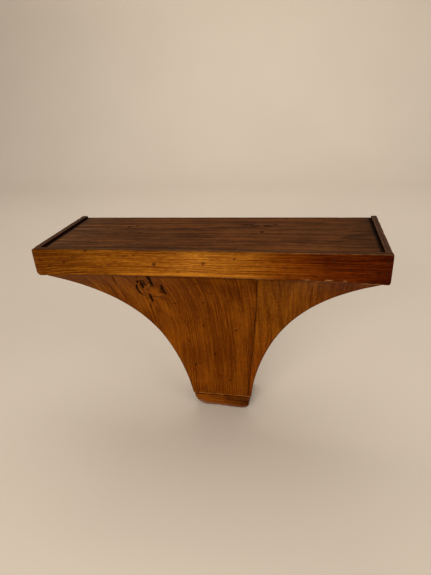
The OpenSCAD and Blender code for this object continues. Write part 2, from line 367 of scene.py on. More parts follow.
def wood(name, light, dark, worn, ring=5.0, pith=(30.0, -60.0), drift=9.0, figure=0.5,
         streaks=0.5, blotches=0.4, flecks=0.4, bands=0.3, curl=0.0, gloss=0.36, coat=0.004,
         shine=0.006, relief=0.00022, axes=None, knot=None, tone=None, seed=0.0):
    """Stained, varnished and worn wood.

    light and dark are the colours between and in the growth rings, and worn is bare wood.
    ring is the rings' mean spacing, pith the place of the tree's heart across and through the
    board, drift how far the rings wander, and knot (across, along, width, length, push) a place
    that they bend round. figure, streaks, blotches, flecks, bands and curl are the strengths of
    the rings, fine streaks, stains, pores, broad streaks and ripples across the grain. gloss is
    the roughness, and tone a function of the graph and the place that gives a factor colour.
    """
    graph = Graph(name)
    place = grain_place(graph, axes)
    across, along, through = graph.split(place)

    # Growth rings
    slow = graph.noise(place, (70, 420, 70), 2, 0.5, seed)
    quick = graph.noise(place, (16, 110, 16), 2, 0.5, seed + 7)
    heart = graph.join(
        graph.calc("SUBTRACT", across, pith[0]), 0.0, graph.calc("SUBTRACT", through, pith[1])
    )
    radius = graph.vector("LENGTH", heart)
    radius = graph.calc("MULTIPLY_ADD", slow, 2 * drift, radius)
    radius = graph.calc("MULTIPLY_ADD", quick, 0.14 * drift, radius)
    if knot:
        side = graph.calc("DIVIDE", graph.calc("SUBTRACT", across, knot[0]), knot[2])
        end = graph.calc("DIVIDE", graph.calc("SUBTRACT", along, knot[1]), knot[3])
        away = graph.vector("LENGTH", graph.join(side, end, 0.0))
        swell = graph.calc("EXPONENT", graph.calc("MULTIPLY", graph.calc("POWER", away, 2), -1))
        radius = graph.calc("MULTIPLY_ADD", swell, knot[4], radius)
    turns = graph.calc("DIVIDE", radius, ring)
    part = graph.calc("FRACT", turns)
    late = graph.calc("MULTIPLY", graph.step(part, 0.25, 0.9), graph.step(part, 0.92, 1.0, 1, 0))
    whole = graph.calc("FLOOR", turns)
    each = graph.noise(graph.join(whole, 0.0, 0.0), (1.7, 1, 1), 0, 0.5, seed + 3)
    late = graph.calc("MULTIPLY", late, graph.step(each, 0.25, 0.75, 0.25, 1.25))

    # Streaks, fibres and pores
    fade = graph.noise(place, (26, 150, 26), 2, 0.5, seed + 2)
    late = graph.calc("MULTIPLY", late, graph.step(fade, 0.38, 0.62, 0.15, 1.1))
    streak = graph.noise(place, (4.2, 190, 4.2), 3, 0.6, seed + 11)
    line = graph.noise(place, (1.7, 52, 1.7), 2, 0.6, seed + 13)
    fibre = graph.noise(place, (0.75, 26, 0.75), 3, 0.65, seed + 5)
    pore = graph.step(graph.noise(place, (0.9, 7, 0.9), 2, 0.6, seed + 19), 0.66, 0.76)
    blotch = graph.noise(place, (46, 90, 46), 4, 0.55, seed + 23)

    value = graph.calc("MULTIPLY", late, figure)
    grit = graph.noise(place, (2.1, 10, 2.1), 2, 0.6, seed + 17)
    band = graph.noise(place, (12, 280, 12), 2, 0.6, seed + 29)
    layers = (
        (band, 1.6 * bands), (streak, 1.5 * streaks), (line, 1.4 * streaks),
        (fibre, 0.8 * streaks), (grit, 1.1 * streaks), (blotch, 1.6 * blotches),
    )
    for layer, weight in layers:
        value = graph.calc("MULTIPLY_ADD", graph.calc("SUBTRACT", layer, 0.5), weight, value)
    if curl:
        wave = graph.noise(place, (22, 2.6, 22), 2, 0.5, seed + 61)
        value = graph.calc("MULTIPLY_ADD", graph.calc("SUBTRACT", wave, 0.5), curl, value)
    value = graph.calc("ADD", value, 0.32, clamp=True)
    middle = tuple(math.sqrt(a * b) for a, b in zip(light, dark))
    colour = graph.ramp(value, [(0.0, light), (0.5, middle), (1.0, dark)])
    if tone:
        colour = graph.mix(1.0, colour, tone(graph, place), "MULTIPLY")
    if axes is None:
        # Lighter golden wood, and painted highlights where light catches an arris
        glow = graph.attribute("glow")
        colour = graph.mix(glow, colour, shade(light, 1.25))
    colour = graph.mix(graph.calc("MULTIPLY", pore, 0.6 * flecks), colour, shade(dark, 0.3))

    # Small dark specks from old worm holes and knocks
    speck = graph.noise(place, (2.6, 4.2, 2.6), 1, 0.5, seed + 31)
    speck = graph.step(speck, 0.73, 0.79)
    colour = graph.mix(graph.calc("MULTIPLY", speck, flecks), colour, shade(dark, 0.15))

    roughness = graph.calc("MULTIPLY_ADD", fibre, 0.16, gloss - 0.08)
    roughness = graph.calc("MULTIPLY_ADD", blotch, 0.14, graph.calc("SUBTRACT", roughness, 0.07))
    height = graph.calc("MULTIPLY_ADD", late, 0.35, graph.calc("MULTIPLY", fibre, -0.6))
    height = graph.calc("SUBTRACT", height, pore)
    height = graph.calc("MULTIPLY_ADD", streak, 0.8, height)

    if axes is None:
        # Raw wood, arris wear, dust, grime with painted shade, and marks are painted on the mesh
        raw = graph.attribute("raw")
        aged = graph.ramp(value, [(0.0, RAW_LIGHT), (1.0, RAW_DARK)])
        colour = graph.mix(raw, colour, aged)
        scuff = graph.noise(place, (2.2, 12, 2.2), 3, 0.6, seed + 41)
        bare = graph.calc("MULTIPLY", graph.attribute("edge"), graph.step(scuff, 0.3, 0.7, 0.2, 1))
        colour = graph.mix(bare, colour, worn)
        dust = graph.attribute("dust")
        ragged = graph.calc("MULTIPLY", dust, graph.step(fibre, 0.2, 0.8, 0.6, 1))
        colour = graph.mix(ragged, colour, DUST)
        # Dark grime and stains, and painted shade: under the fascia and the panel's edge, along
        # rounded arrises and in corners
        grime = graph.attribute("grime")
        colour = graph.mix(grime, colour, shade(dark, 0.12))
        mark = graph.attribute("mark")
        colour = graph.mix(mark, colour, HOLE)
        roughness = graph.calc("MULTIPLY_ADD", graph.calc("ADD", dust, raw), 0.35, roughness)
        roughness = graph.calc("MULTIPLY_ADD", mark, 0.4, roughness)
        height = graph.calc("MULTIPLY_ADD", mark, -2.0, height)
    normal = graph.bump(height, relief)
    graph.surface(
        Base_Color=colour, Roughness=graph.calc("MINIMUM", roughness, 1.0), Normal=normal,
        Coat_Weight=coat, Coat_Roughness=0.35, Specular_IOR_Level=shine,
    )
    return graph.material


def along_tones(size, colours):
    """A tone that changes along the board, at the places and colours given."""
    def tone(graph, place):
        ragged = graph.calc("SUBTRACT", graph.noise(place, (22, 75, 22), 3, 0.6, 83), 0.5)
        part = graph.calc("DIVIDE", graph.split(place)[1], size)
        return graph.ramp(graph.calc("MULTIPLY_ADD", ragged, 0.16, part, clamp=True), colours)
    return tone


def metal(name, colour, rust, roughness, metallic=1.0, dim=1.0):
    """Old metal with patches of rust or dirt and fine scratches.

    At the shelf's right-hand end its colour is multiplied by dim.
    """
    graph = Graph(name)
    coords = graph.tree.nodes.new("ShaderNodeTexCoord").outputs["Object"]
    place = graph.vector("MULTIPLY", coords, (1 / MM, 1 / MM, 1 / MM))
    patch = graph.step(graph.noise(place, (6, 6, 6), 5, 0.7), 0.5, 0.75)
    scratch = graph.noise(place, (9, 0.5, 0.3), 2, 0.5, 4)
    tint = graph.mix(graph.step(scratch, 0.3, 0.7), shade(colour, 0.8), shade(colour, 1.15))
    stained = graph.mix(patch, tint, rust)
    to_right = graph.step(graph.split(place)[0], 90, 200)
    graph.surface(
        Base_Color=graph.mix(to_right, stained, (dim, dim, dim), "MULTIPLY"),
        Metallic=graph.step(patch, 0.2, 0.9, metallic, 0.15 * metallic),
        Specular_IOR_Level=0.1 + 0.4 * metallic,
        Roughness=graph.calc("MULTIPLY_ADD", patch, 0.4, roughness),
        Normal=graph.bump(graph.calc("ADD", patch, graph.calc("MULTIPLY", scratch, 0.3)), 0.0001),
    )
    return graph.material


# ---------------------------------------------------------------- flat boards

def flat_board(name, low, high, grain_axis, material, nodes, step=3.0, fine=((), (), ()),
               radius=1.0, shape=None, paint=None, seed=1):
    """A board between two corners, with soft uneven arrises and slightly uneven faces.

    shape(points) may bend or trim it, and paint(points, fields) changes its fields.
    Points are in the CAD frame.
    """
    low, high = np.array(low, float), np.array(high, float)
    size = high - low
    sides = [stops(size[i], step, [(a - low[i], b - low[i], c) for a, b, c in fine[i]])
             for i in range(3)]
    points, faces = shell(sides)
    depth = arris_depth(points, size)
    knocks = smooth(0.35, 0.8, wander(points, 9, seed + 3))
    uneven = radius * (0.8 + 0.45 * wander(points, 22, seed) + 1.1 * knocks)
    points = soften(points, size, uneven)
    centre = size / 2
    inward = np.sign(centre - points) * (np.minimum(points, size - points) < 0.6)
    hollow = 0.1 + 0.09 * wander(points, 38, seed + 9)
    points = points + inward * hollow[:, None] + low
    axes = {0: (2, 0, 1), 1: (0, 1, 2), 2: (0, 2, 1)}[grain_axis]
    fields = blank_fields(points[:, axes] - low[list(axes)])
    fields["edge"] = 1 - smooth(0.3, 1.5, depth + 0.5 * wander(points, 6, seed + 5))
    if paint:
        paint(points, fields)
    if shape:
        points = shape(points)
    return make_piece(name, points, faces, fields, material, nodes)


# ---------------------------------------------------------------- the tray

# Radii of the lower and upper corners at the fascia's left and right ends
FASCIA_LEFT_R, FASCIA_RIGHT_R = (8, 4.5), (4, 2)

# Nail heads on the fascia, as (x, drop), where the CAD model has them
NAILS_IN_FASCIA = [(-222, 13), (-130, 11), (60, 12), (215, 12), (-160, 28), (-77, 26), (8, 22),
                   (140, 25), (240, 27), (-294, 21), (-293, 39), (293, 14), (294, 31)]

# Dark dots on the fascia, as (x, drop) and strength
DARK_SPOTS = [((-76, 26), 0.9), ((8.5, 22), 0.7), ((-222, 14), 0.8), ((-197, 2), 0.9),
              ((-241, 24), 0.7), ((-287, 21), 0.6), ((-272, 32), 0.6), ((280, 31), 0.7),
              ((-110, 9), 0.5), ((96, 6), 0.5), ((-36, 41), 0.5)]


def arch(x):
    """Rise of the fascia's lower edge, from its ends to its middle."""
    return ARCH_RISE * (1 - (x / FASCIA_HIGH[0]) ** 2)


def shape_fascia(points):
    """Rounds the four corners of the face and raises the lower edge in a shallow arch."""
    flat = points[:, [0, 2]]
    ends = ((FASCIA_LOW[0], 1, FASCIA_LEFT_R), (FASCIA_HIGH[0], -1, FASCIA_RIGHT_R))
    for x, side, (lower, upper) in ends:
        flat = round_corner(flat, (np.array([x, FASCIA_LOW[2]]), np.array([side, 1])), lower)
        flat = round_corner(flat, (np.array([x, FASCIA_HIGH[2]]), np.array([side, -1])), upper)
    share = 1 - (flat[:, 1] - FASCIA_LOW[2]) / FASCIA_H
    lifted = flat[:, 1] + share * arch(flat[:, 0])
    return np.c_[flat[:, 0], points[:, 1], lifted]


def paint_fascia(points, fields):
    """Dark dusty top, raw back and nail stains on the face."""
    x, y, z = points.T
    front = y < FASCIA_LOW[1] + 1
    behind_arris = y - FASCIA_LOW[1] + 0.8 * wander(points, 15, 18)
    top = smooth(FASCIA_HIGH[2] - 0.9, FASCIA_HIGH[2] - 0.3, z) * smooth(0.6, 1.9, behind_arris)
    fields["dust"] = top
    fields["grime"] = 0.22 * front * smooth(FASCIA_HIGH[2] - 13, FASCIA_HIGH[2] - 2, z)
    fields["raw"] = smooth(FASCIA_HIGH[1] - 2.5, FASCIA_HIGH[1] - 0.5, y + wander(points, 12, 16))
    flat = np.c_[x, LIP_TOP - z]
    for spot, strength in [(nail, 0.12) for nail in NAILS_IN_FASCIA] + DARK_SPOTS:
        away = np.linalg.norm((flat - spot) / (1.5, 1.0), axis=1) + 0.3 * wander(points, 2, 3)
        stain = strength * front * (1 - smooth(0.8, 3.6, away))
        fields["grime"] = np.maximum(fields["grime"], stain)
    wear_fascia(points, fields, front)


def wear_fascia(points, fields, front):
    """A dark line along the top arris, a worn and chipped lower arris with a dark line along it, and
    a painted highlight in a band just above it.
    """
    x, _, z = points.T
    near_top = np.clip(1 - (FASCIA_HIGH[2] - z) / 2.2, 0, 1)
    broken = smooth(-0.25, 0.35, wander(points, 34, 12))
    line = near_top * front * broken * (1 - smooth(110, 170, x))
    fields["grime"] = np.maximum(fields["grime"], 0.75 * line)
    up = z - FASCIA_LOW[2]
    low_line = front * (1 - smooth(0.6, 1.8, up)) * smooth(-0.4, 0.2, wander(points, 24, 13))
    fields["grime"] = np.maximum(fields["grime"], 0.5 * low_line)
    # Painted highlight: a lighter band just above the lower arris, where light catches it
    band = smooth(1.5, 3.5, up) * (1 - smooth(6, 9, up + 2 * wander(points, (40, 9, 9), 14)))
    fields["glow"] = 0.4 * front * band * smooth(-170, -110, x) * (1 - smooth(60, 150, x))
    low_arris = z < FASCIA_LOW[2] + 4
    worn_middle = smooth(-90, -40, x) * (1 - smooth(80, 130, x)) + smooth(160, 190, x)
    right_top = (z > FASCIA_HIGH[2] - 4) * smooth(120, 170, x)
    keep = np.where(low_arris, 0.15 + 0.75 * worn_middle, 0.3 * right_top)
    fields["edge"] = fields["edge"] * keep
    chips = (1 - smooth(0.5, 1.6, up - arch(x))) * smooth(0.15, 0.5, wander(points, (8, 4, 4), 15))
    fields["edge"] = np.maximum(fields["edge"], 0.6 * chips * front * smooth(160, 195, x))


def make_fascia():
    # A tone along the fascia: darker towards both ends, and brightest in the middle, where it is a
    # painted sheen
    tones = [(0.0, (0.4, 0.33, 0.25)), (0.12, (0.5, 0.45, 0.35)), (0.33, (0.76, 0.72, 0.6)),
             (0.5, (1.02, 1.06, 1.3)), (0.6, (0.88, 0.87, 0.85)), (0.7, (0.52, 0.39, 0.27)),
             (0.77, (0.37, 0.22, 0.13)), (0.84, (0.26, 0.125, 0.08)), (0.9, (0.26, 0.12, 0.065)),
             (1.0, (0.15, 0.055, 0.045))]
    material = wood(
        "fascia_varnished_wood", (0.36, 0.132, 0.0105), (0.085, 0.019, 0.0011), BARE_WOOD,
        ring=3.6, pith=(95.0, 60.0), drift=16.0, figure=0.5, streaks=0.8, blotches=0.35,
        flecks=0.6, gloss=0.34, seed=2.0,
        tone=along_tones(FASCIA_HIGH[0] - FASCIA_LOW[0], tones),
    )
    nail_bands = [(x - 5, x + 5, 1.1) for x, _ in NAILS_IN_FASCIA]
    nail_rows = [(LIP_TOP - 44, LIP_TOP - 5, 1.3)]
    flat_board(
        "fascia_board", FASCIA_LOW, FASCIA_HIGH, 0, material, ["fascia"],
        step=3.0, fine=(nail_bands, (), nail_rows), radius=1.1, shape=shape_fascia,
        paint=paint_fascia, seed=4,
    )


# Dents and cracks in the top, as (points of x and y, half width)
TOP_MARKS = [
    ([(-176, -60), (-171, -61.5), (-166, -61)], 1.8),
    ([(-99, -42), (-93, -41)], 1.3),
    ([(52, -46), (64, -47), (74, -46)], 1.5),
    ([(92, -53), (108, -52)], 1.6),
    ([(90, -87), (96, -87.5)], 2.2),
    ([(129, -8), (135, -8)], 2.0),
    ([(-60, -118), (-20, -120), (12, -119)], 0.7),
    ([(245, -79), (268, -79.5), (289, -79)], 0.8),
    ([(-230, -150), (-190, -152)], 0.6),
    ([(150, -140), (186, -142), (214, -141)], 0.6),
    ([(14, -30), (20, -30.5)], 1.0),
    ([(112, -44), (116, -44)], 1.3),
    ([(68, -54), (84, -55)], 1.0),
    ([(-158, -56), (-155, -56)], 1.4),
    ([(-140, -96), (-132, -96)], 0.9),
]


def paint_top(points, fields):
    """Old dents and cracks, dust in the corners beside the lips, and dark joints with painted shade
    in the corners beside the lips.
    """
    x, y, z = points.T
    above = z > TOP_HIGH[2] - 1
    fields["raw"] = 1 - smooth(0.5, 2.5, z - TOP_LOW[2] + wander(points, 12, 17))
    flat = np.c_[x, y]
    for number, (path, half_width) in enumerate(TOP_MARKS):
        drawn = stroke(flat, path, 1.9 * half_width, number + 5) * above
        fields["mark"] = np.maximum(fields["mark"], drawn)
    side_gap = TOP_HIGH[0] - np.abs(x)
    band = 1 - smooth(3, 10, side_gap + 2.5 * wander(points, 9, 21))
    fields["dust"] = above * np.clip(0.18 + 0.5 * band + 0.2 * wander(points, 60, 22), 0, 1)
    # Dark joints, and painted shade in the corners beside the lips
    joint = 1 - smooth(2.8, 6.2, side_gap + wander(points, 10, 24))
    front_joint = 1 - smooth(0.4, 2.0, y - TOP_LOW[1])
    fields["grime"] = np.maximum(0.9 * joint, 0.6 * front_joint) * above
    fields["edge"] *= 0.25


def make_top_board():
    tones = [(0.0, (1.0, 1.3, 2.5)), (0.15, (1.04, 1.14, 1.4)), (0.45, (0.92, 0.91, 0.85)),
             (0.85, (0.95, 0.92, 0.9)), (0.95, (0.75, 0.75, 0.8)), (1.0, (0.45, 0.5, 0.6))]
    material = wood(
        "top_dull_wood", (0.128, 0.04, 0.008), (0.021, 0.0062, 0.0016), (0.2, 0.1, 0.045),
        ring=7.0, pith=(110.0, 80.0), drift=14.0, figure=0.45, streaks=0.8, blotches=0.35,
        flecks=0.8, bands=0.9, gloss=0.65, coat=0.0, shine=0.02,
        tone=along_tones(TOP_HIGH[0] - TOP_LOW[0], tones), seed=9.0,
    )
    mark_columns = [(min(p[0] for p in path) - 4, max(p[0] for p in path) + 4, 1.5)
                    for path, half_width in TOP_MARKS if half_width > 1.2]
    mark_rows = [(path[0][1] - 4, path[0][1] + 4, 1.3) for path, half_width in TOP_MARKS]
    flat_board(
        "top_board_piece", TOP_LOW, TOP_HIGH, 0, material, ["top_board"],
        step=4.0, fine=(mark_columns, mark_rows, ()), radius=0.7, paint=paint_top, seed=31,
    )


def make_ends():
    material = wood(
        "lip_dark_wood", (0.06, 0.018, 0.0052), (0.013, 0.0042, 0.002), (0.14, 0.055, 0.02),
        ring=5.0, pith=(40.0, 30.0), drift=8.0, figure=0.5, streaks=0.7, blotches=0.4,
        flecks=0.3, gloss=0.42, coat=0.01, shine=0.03, seed=14.0,
    )

    def shape_end(points):
        corner = np.array([0.0, LIP_TOP])
        flat = round_corner(points[:, [1, 2]], (corner, np.array([-1, -1])), 6)
        return np.c_[points[:, 0], flat]

    def paint_end(points, fields):
        x, _, z = points.T
        inner = np.abs(x) < TOP_HIGH[0] + 0.8
        # Painted shade, with some dirt, on the inner faces above the top board
        fields["grime"] = 0.8 * inner * (z < LIP_TOP - 1) * (z > TOP_LOW[2])
        fields["raw"] = inner * (z < TOP_LOW[2] - 1.0)
        fields["edge"] *= 0.35 + 0.4 * (z > LIP_TOP - 2)
        fields["dust"] = 0.15 * (z > LIP_TOP - 1) * (1 + wander(points, (9, 30, 9), 44)) / 2

    for node, seed in (("left_end", 58), ("right_end", 59)):
        low, high = box_mm(node)
        flat_board(
            node + "_board", low, high, 1, material, [node], step=3.5,
            radius=1.5, shape=shape_end, paint=paint_end, seed=seed,
        )


# ---------------------------------------------------------------- the coved panel

TANGENT = np.array([
    -PANEL_SET - STRAIGHT_L * math.sin(LEAN), PANEL_LOW[2] + STRAIGHT_L * math.cos(LEAN)
])
COVE_CENTRE = TANGENT - COVE_R * np.array([math.cos(LEAN), math.sin(LEAN)])
PANEL_END_Z = FASCIA_LOW[2] + ARCH_RISE - 0.2
RUN_END = STRAIGHT_L + COVE_R * (math.asin((PANEL_END_Z - COVE_CENTRE[1]) / COVE_R) - LEAN)
SEAM_SLOPE = (SEAM_TOP_X - SEAM_LOW_X) / (PANEL_HIGH[2] - PANEL_LOW[2])
PANEL_HALF_W = -PANEL_LOW[0]


def cove(run, inward):
    """Y and Z of the point run up the panel's face and inward behind it."""
    turn = LEAN + np.clip(run - STRAIGHT_L, 0, None) / COVE_R
    straight = np.minimum(run, STRAIGHT_L) - STRAIGHT_L
    y = COVE_CENTRE[0] + (COVE_R + inward) * np.cos(turn) - straight * math.sin(LEAN)
    z = COVE_CENTRE[1] + (COVE_R + inward) * np.sin(turn) + straight * math.cos(LEAN)
    return y, z


def run_at(drop):
    """How far up the panel's face a drop is."""
    z = LIP_TOP - np.asarray(drop, float)
    rise = np.clip((z - COVE_CENTRE[1]) / COVE_R, -1, 1)
    on_arc = STRAIGHT_L + COVE_R * (np.arcsin(rise) - LEAN)
    return np.where(z < TANGENT[1], (z - PANEL_LOW[2]) / math.cos(LEAN), on_arc)


def outline_x(z):
    """Half the panel's width at height z."""
    up = np.clip(z - (LIP_TOP - OUTLINE_DROP), -OUTLINE_R, OUTLINE_R)
    return np.minimum(PANEL_HALF_W, OUTLINE_X - np.sqrt(OUTLINE_R**2 - up**2))


def seam_x(z):
    """Place of the joint between the two boards at height z."""
    return SEAM_LOW_X + SEAM_SLOPE * (z - PANEL_LOW[2])


# Cracks and holes round the knot, and fine cracks, as (points of x and drop, half width)
PANEL_CRACKS = [
    ([(-128, 79), (-133, 93), (-133, 108), (-126, 119)], 2.7),
    ([(-126, 77), (-120, 68), (-107, 66)], 2.6),
    ([(-117, 69), (-118, 81), (-120, 93)], 2.8),
    ([(-111, 69), (-113, 82)], 1.8),
    ([(-110.5, 80), (-110.5, 84)], 2.0),
    ([(-92, 44), (-94.5, 58), (-97.5, 70), (-99, 85)], 3.6),
    ([(-81.5, 80), (-84, 95), (-83, 112)], 3.4),
    ([(-90, 98), (-88, 111)], 1.3),
    ([(-115, 111), (-116, 122), (-115.5, 135)], 2.8),
    ([(-119, 134), (-124, 147), (-127, 160)], 0.7),
    ([(-158, 50), (-164, 66), (-168, 82)], 1.1),
    ([(-115, 50), (-119, 68)], 0.9),
    ([(-14, 66), (-13.5, 75)], 1.0),
    ([(47, 93), (58, 93)], 0.6),
    ([(78, 177), (92, 177.5)], 0.5),
]
# Dark spots, nail heads and the knot, as (x, drop)
PANEL_SPOTS = [(-72, 136), (3, 103), (-15, 131), (-25, 198), (-7, 270), (-60, 240), (22, 338),
               (-33, 176), (39, 206), (-51, 300)]
PANEL_NAILS = [(-38, 112), (-35, 177), (-46, 297), (-42, 366),
               (43, 122), (43, 204), (38, 286), (43, 366)]
KNOT_X, KNOT_DROP = -112, 92
# The golden wood beside the knot, the streak that runs down from it, and a chip in the knot
GOLDEN_PATCH, GOLDEN_STREAK, KNOT_CHIP = (-104, 97), ((-106, 120), (-84, 175)), (-106, 82)


def on_panel(place):
    """X and run, up the panel's face, of a place given as (x, drop)."""
    return place[0], float(run_at(place[1]))


def paint_panel_marks(flat, fields, front):
    """Cracks, spots and nail stains."""
    for number, (path, half_width) in enumerate(PANEL_CRACKS):
        drawn = stroke(flat, [on_panel(place) for place in path], half_width, number + 60)
        fields["mark"] = np.maximum(fields["mark"], drawn * front)
    spots = [(spot, 0.9) for spot in PANEL_SPOTS] + [(nail, 0.3) for nail in PANEL_NAILS]
    for place, strength in spots:
        away = np.linalg.norm(flat - on_panel(place), axis=1)
        spot = strength * front * (1 - smooth(1.0, 3.2, away))
        fields["grime"] = np.maximum(fields["grime"], spot)


def paint_knot(points, flat, fields, front, seed):
    """Soot round the knot, the golden wood and streak beside it, and its pale chip."""
    near = np.linalg.norm((flat - on_panel((KNOT_X, KNOT_DROP))) / (30, 36), axis=1)
    halo = (1 - smooth(0.5, 1.3, near + 0.4 * wander(points, 12, seed + 1))) * front
    soot = 0.45 * halo * smooth(-0.1, 0.7, wander(points, 7, seed + 2))
    fields["grime"] = np.maximum(fields["grime"], soot)
    near_patch = np.linalg.norm((flat - on_panel(GOLDEN_PATCH)) / (17, 24), axis=1)
    golden = (1 - smooth(0.5, 1.2, near_patch + 0.35 * wander(points, 9, seed + 7))) * front
    streak = stroke(flat, [on_panel(place) for place in GOLDEN_STREAK], 9, seed) * front
    fields["glow"] = np.clip(0.55 * golden + 0.35 * streak, 0, 1)
    from_chip = np.linalg.norm(flat - on_panel(KNOT_CHIP), axis=1)
    fields["edge"] = 0.9 * front * (1 - smooth(1.2, 2.6, from_chip))


def paint_panel_edges(points, flat, depths, fields, front, seed):
    """Painted shadow under the fascia, painted shade along the outline's rounded arris, and a worn,
    golden lower edge.
    """
    x, _, z = points.T
    side, end = depths
    # Painted shadow on the panel just under the fascia
    shadow_under_fascia = 1 - smooth(1, 7, LIP_TOP - z - FASCIA_H + arch(x) - 1)
    fields["grime"] = np.maximum(fields["grime"], 0.45 * shadow_under_fascia * front)
    # Painted shade along the outline's rounded arris, weaker at the joint
    at_joint = np.abs(x - seam_x(z)) < 4
    outline = np.where(at_joint, 0.25, 0.6) * (1 - smooth(0.2, 2.4, side))
    fields["grime"] = np.maximum(fields["grime"], outline)
    at_foot = flat[:, 1] < 20
    rim = at_foot * (1 - smooth(0.5, 2.4, end + 0.8 * wander(points, 8, seed + 5)))
    lasting = smooth(-0.5, 0.1, wander(points, 26, seed + 6))
    fields["edge"] = np.maximum(fields["edge"], rim * (0.1 + 0.5 * lasting))
    fields["glow"] = np.maximum(fields["glow"], rim)


def panel_board(name, left, right, share_bands, run_bands, material, node, columns, seed):
    """One board of the panel, between the limits left(z) and right(z)."""
    share_stops = stops(columns, 1.0, share_bands) / columns
    run_stops = stops(RUN_END, 3.0, run_bands)
    depth_stops = stops(PANEL_T, 4.0)
    points, faces = shell([share_stops, run_stops, depth_stops])
    share, run, depth = points.T
    y, z = cove(run, depth)
    width = right(z) - left(z)
    lean_left = np.abs(np.gradient(left(cove(run_stops, 0)[1]), run_stops))
    lean_right = np.abs(np.gradient(right(cove(run_stops, 0)[1]), run_stops))
    lean_here = (1 - share) * np.interp(run, run_stops, lean_left)
    lean_here += share * np.interp(run, run_stops, lean_right)
    squeeze = 1 / np.sqrt(1 + lean_here**2)
    size = np.c_[width * squeeze, np.full(len(run), RUN_END), np.full(len(run), PANEL_T)]
    skin = np.c_[share * size[:, 0], run, depth]
    side = np.minimum(skin[:, 0], size[:, 0] - skin[:, 0])
    rough = np.c_[left(z) + share * width, y, z]
    knocks = smooth(0.3, 0.8, wander(rough, 10, seed))
    radius = 0.8 + 0.35 * wander(rough, 20, seed + 1) + 0.9 * knocks
    radius = np.where(np.abs(rough[:, 0] - seam_x(z)) < 4, 0.3, radius)
    skin = soften(skin, size, radius)
    share, run, depth = skin[:, 0] / size[:, 0], skin[:, 1], skin[:, 2]
    front = depth < 1.2
    wave = 0.22 + 0.18 * wander(rough, (24, 24, 70), seed + 2)
    depth = depth + np.where(front, wave, -0.5 * wave)
    y, z = cove(run, depth)
    x = left(z) + share * (right(z) - left(z))
    points = np.c_[x, y, z]
    flat = np.c_[x, run]
    fields = blank_fields(np.c_[x - GRAIN_LEFT, run, depth])
    to_back = depth + 1.2 * wander(rough, 14, seed + 9)
    fields["raw"] = smooth(PANEL_T - 2.5, PANEL_T - 0.4, to_back)
    paint_panel_marks(flat, fields, front)
    paint_knot(points, flat, fields, front, seed)
    paint_panel_edges(points, flat, (side, run), fields, front, seed)
    y, z = cove(run, depth + 1.6 * fields["mark"] * front)
    points = np.c_[x, y, z]
    return make_piece(name, points, faces, fields, material, [node])


def past_seam(graph, across, along):
    """How far a place is to the right of the joint between the two boards."""
    seam = graph.calc("MULTIPLY_ADD", along, SEAM_LEAN, SEAM_LOW_X - GRAIN_LEFT)
    return graph.calc("SUBTRACT", across, seam)


def panel_tone(graph, place):
    """Darker and redder at the lower end, a painted shade that evens it with the upper part in the
    tray's shadow, and darker in the middle and beside the joint.
    """
    across, along, _ = graph.split(place)
    dull = graph.calc("MULTIPLY", graph.step(across, 60, 230, 1, 0), graph.step(along, 210, 330))
    tone = graph.mix(dull, (1, 1, 1), (1.02, 1.1, 1.05))
    # Painted shade: the lower end, which gets more light than the upper part under the tray, is made
    # darker
    tone = graph.mix(graph.step(along, 60, 260, 1, 0), tone, (0.86, 0.8, 0.8))
    right_side = graph.step(across, 330, 380, 1, 0)
    middle = graph.calc("MULTIPLY", graph.step(across, 190, 260), right_side)
    tone = graph.mix(graph.calc("MULTIPLY", middle, 0.35), tone, (0.8, 0.72, 0.6))
    beside = graph.step(past_seam(graph, across, along), -14, -4, 0, 0.5)
    shaded = graph.calc("MULTIPLY", beside, graph.step(along, 180, 280, 1, 0.3))
    return graph.mix(shaded, tone, (0.5, 0.4, 0.35))


def edge_board_tone(graph, place):
    """A bright strip beside the joint, redder at the lower end and duller at the upper right."""
    across, along, _ = graph.split(place)
    gap = past_seam(graph, across, along)
    strip = graph.calc("MULTIPLY", graph.step(gap, 1.5, 3.5), graph.step(gap, 8, 14, 1, 0))
    strip = graph.calc("MULTIPLY", strip, graph.step(along, 120, 260, 0.15, 0.8))
    tone = graph.mix(strip, (1, 1, 1), (1.25, 1.32, 1.2))
    tone = graph.mix(graph.step(along, 60, 220, 0.7, 0), tone, (0.8, 0.5, 0.38))
    return graph.mix(graph.step(gap, 70, 150, 0, 0.8), tone, (0.6, 0.4, 0.35))


def make_panel():
    main_wood = wood(
        "panel_main_wood", (0.198, 0.055, 0.0026), (0.047, 0.0094, 0.0006), BARE_WOOD, ring=4.6,
        pith=(185.0, 60.0), drift=16.0, figure=0.3, streaks=0.6, blotches=0.6, flecks=0.55,
        curl=0.12, knot=(KNOT_X - GRAIN_LEFT, float(run_at(KNOT_DROP)), 26.0, 40.0, 17.0),
        tone=panel_tone, seed=21.0,
    )
    edge_wood = wood(
        "panel_edge_wood", (0.2, 0.06, 0.0035), (0.052, 0.0115, 0.0007), BARE_WOOD, ring=5.2,
        pith=(420.0, 50.0), drift=14.0, figure=0.25, streaks=0.65, blotches=0.4, flecks=0.4,
        curl=0.4, tone=edge_board_tone, seed=33.0,
    )
    knot_runs = (float(run_at(140)), float(run_at(46)), 1.15)
    panel_board(
        "panel_main_piece", lambda z: -outline_x(z), lambda z: seam_x(z) - SEAM_GAP / 2,
        [(27, 62, 0.3)], [knot_runs], main_wood, "panel_main_board", 110, 70,
    )
    panel_board(
        "panel_edge_piece", lambda z: seam_x(z) + SEAM_GAP / 2, outline_x,
        [], [], edge_wood, "panel_edge_board", 60, 90,
    )


# ---------------------------------------------------------------- the foot

